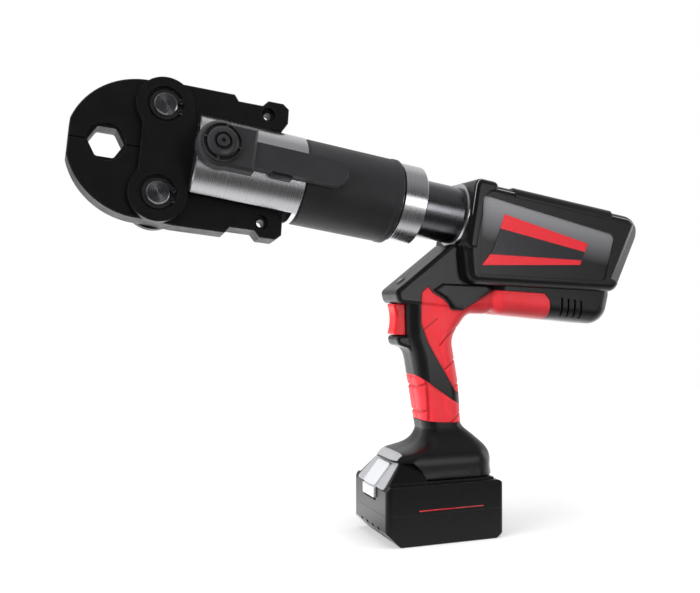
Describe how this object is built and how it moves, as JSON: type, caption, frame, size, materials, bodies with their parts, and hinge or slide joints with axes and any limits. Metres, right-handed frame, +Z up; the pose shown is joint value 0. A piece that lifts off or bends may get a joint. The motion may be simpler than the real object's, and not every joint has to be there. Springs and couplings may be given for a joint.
{
  "type": "pipe press tool",
  "caption": "Cordless hydraulic pipe press tool: hinged press jaws locked in a swivelling yoke head by a lever pin, over a pistol handle with trigger and slide-on battery.",
  "frame": {"origin": "middle of the battery's flat underside", "axes": "+Z up, -X towards the jaws, -Y the side with the lock lever; the barrel rises 9.3 degrees to the jaws"},
  "size_m": [0.5496, 0.1035, 0.414],
  "materials": {
    "black_oxide_steel": "satin",
    "turned_steel": "turned, bright",
    "bright_steel": "ground",
    "black_chrome": "polished",
    "black_plastic": "satin, lightly grained",
    "sleeve_plastic": "matte",
    "lever_plastic": "satin",
    "red_rubber": "soft matte",
    "red_plastic": "satin",
    "label_print": "printed, clear coated",
    "led_clear": "clear",
    "cast_aluminium": "cast",
    "motor_steel": "plated",
    "copper_winding": "lacquered",
    "seal_rubber": "matte",
    "switch_plastic": "matte",
    "board": "coated",
    "battery_plastic": "satin, lightly grained",
    "latch_silver": "silver painted",
    "cell_wrap": "shrink wrapped",
    "contact_brass": "plain"
  },
  "bodies": {
    "body": {"barrel_tube": "black_chrome", "swivel_ring": "bright_steel", "bezel_ring": "turned_steel", "housing_left": "black_plastic", "housing_right": "black_plastic", "grip_pads_left": "red_rubber", "grip_pads_right": "red_rubber", "top_rail": "black_plastic", "label_plates": "label_print", "housing_screws": "bright_steel", "led_lens": "led_clear", "pump_block": "cast_aluminium", "pump_plunger": "bright_steel", "gearbox_case": "motor_steel", "motor_can": "motor_steel", "oil_bladder": "seal_rubber", "switch_box": "switch_plastic", "control_board": "board", "terminal_block": "switch_plastic", "brow_patch": "latch_silver"},
    "head": {"yoke": "turned_steel", "cylinder": "bright_steel", "sleeve": "sleeve_plastic", "collar_ring": "turned_steel", "rod_seal": "seal_rubber", "return_spring": "bright_steel"},
    "ram": {"piston": "bright_steel", "piston_seal": "seal_rubber", "roller_fork": "bright_steel", "roller_axles": "bright_steel"},
    "roller_top": {"roller_upper": "bright_steel"},
    "roller_bottom": {"roller_lower": "bright_steel"},
    "jaw_set": {"side_plate_near": "black_oxide_steel", "side_plate_far": "black_oxide_steel", "jaw_pin_upper": "bright_steel", "jaw_pin_lower": "bright_steel", "retaining_rings": "bright_steel"},
    "jaw_top": {"jaw_upper": "black_oxide_steel"},
    "jaw_bottom": {"jaw_lower": "black_oxide_steel"},
    "lock": {"lock_pin": "bright_steel"},
    "lever": {"lock_lever": "lever_plastic", "lock_cap": "lever_plastic"},
    "trigger": {"trigger": "red_plastic"},
    "paddle": {"release_paddle": "black_plastic"},
    "drive": {"eccentric_shaft": "bright_steel", "planet_gears": "bright_steel"},
    "rotor": {"motor_rotor": "copper_winding"},
    "battery": {"battery_lower_case": "battery_plastic", "battery_upper_case": "battery_plastic", "battery_cells": "cell_wrap", "battery_contacts": "contact_brass", "latch_spring": "bright_steel", "latch_plate": "latch_silver"},
    "latch": {"battery_latch": "latch_silver"}
  },
  "joints": [
    {"name": "head_swivel", "type": "hinge", "parent": "body", "child": "head", "pos_m": [0, 0, 0.309], "axis": [0.9869, 0, -0.1616], "range_deg": [-175, 175]},
    {"name": "piston_slide", "type": "slide", "parent": "head", "child": "ram", "axis": [0.9869, 0, -0.1616], "range_m": [0, 0.026]},
    {"name": "roller_upper_spin", "type": "hinge", "parent": "ram", "child": "roller_top", "pos_m": [-0.18454, 0.00153, 0.34851], "axis": [0.0267, -0.9863, 0.1629], "continuous": true},
    {"name": "roller_lower_spin", "type": "hinge", "parent": "ram", "child": "roller_bottom", "pos_m": [-0.18751, -0.00153, 0.33041], "axis": [0.0267, -0.9863, 0.1629], "continuous": true},
    {"name": "jaw_set_rock", "type": "hinge", "parent": "head", "child": "jaw_set", "pos_m": [-0.21168, 0, 0.34366], "axis": [-0.0267, 0.9863, -0.1629], "range_deg": [0, 6]},
    {"name": "jaw_upper_swing", "type": "hinge", "parent": "jaw_set", "child": "jaw_top", "pos_m": [-0.25048, 0.00612, 0.38708], "axis": [-0.0267, 0.9863, -0.1629], "range_deg": [0, 8]},
    {"name": "jaw_lower_swing", "type": "hinge", "parent": "jaw_set", "child": "jaw_bottom", "pos_m": [-0.25895, -0.00687, 0.30982], "axis": [0.0267, -0.9863, 0.1629], "range_deg": [0, 8]},
    {"name": "lock_pin_pull", "type": "slide", "parent": "head", "child": "lock", "axis": [0.0267, -0.9863, 0.1629], "range_m": [0, 0.058]},
    {"name": "lock_lever_swing", "type": "hinge", "parent": "lock", "child": "lever", "pos_m": [-0.21168, 0, 0.34366], "axis": [0.0267, -0.9863, 0.1629], "range_deg": [0, 90]},
    {"name": "trigger_pull", "type": "slide", "parent": "body", "child": "trigger", "axis": [1, 0, 0], "range_m": [0, 0.006], "stiffness_N_per_m": 1500, "springref_m": -0.003},
    {"name": "release_press", "type": "slide", "parent": "body", "child": "paddle", "axis": [0, 1, 0], "range_m": [0, 0.003], "stiffness_N_per_m": 2000, "springref_m": -0.002},
    {"name": "motor_spin", "type": "hinge", "parent": "body", "child": "rotor", "pos_m": [0, 0, 0.309], "axis": [0.9869, 0, -0.1616], "continuous": true},
    {"name": "eccentric_spin", "type": "hinge", "parent": "body", "child": "drive", "pos_m": [0, 0, 0.309], "axis": [0.9869, 0, -0.1616], "continuous": true},
    {"name": "battery_slide", "type": "slide", "parent": "body", "child": "battery", "axis": [-1, 0, 0], "range_m": [0, 0.075]},
    {"name": "battery_latch_press", "type": "slide", "parent": "battery", "child": "latch", "axis": [0.7696, 0, -0.6385], "range_m": [0, 0.0025], "stiffness_N_per_m": 2000, "springref_m": -0.002}
  ],
  "couplings": [
    {"joint": "jaw_upper_swing", "follows": "piston_slide", "rad_per_m": 5.3701},
    {"joint": "jaw_lower_swing", "follows": "piston_slide", "rad_per_m": 5.3701},
    {"joint": "eccentric_spin", "follows": "motor_spin", "ratio": 0.206}
  ]
}
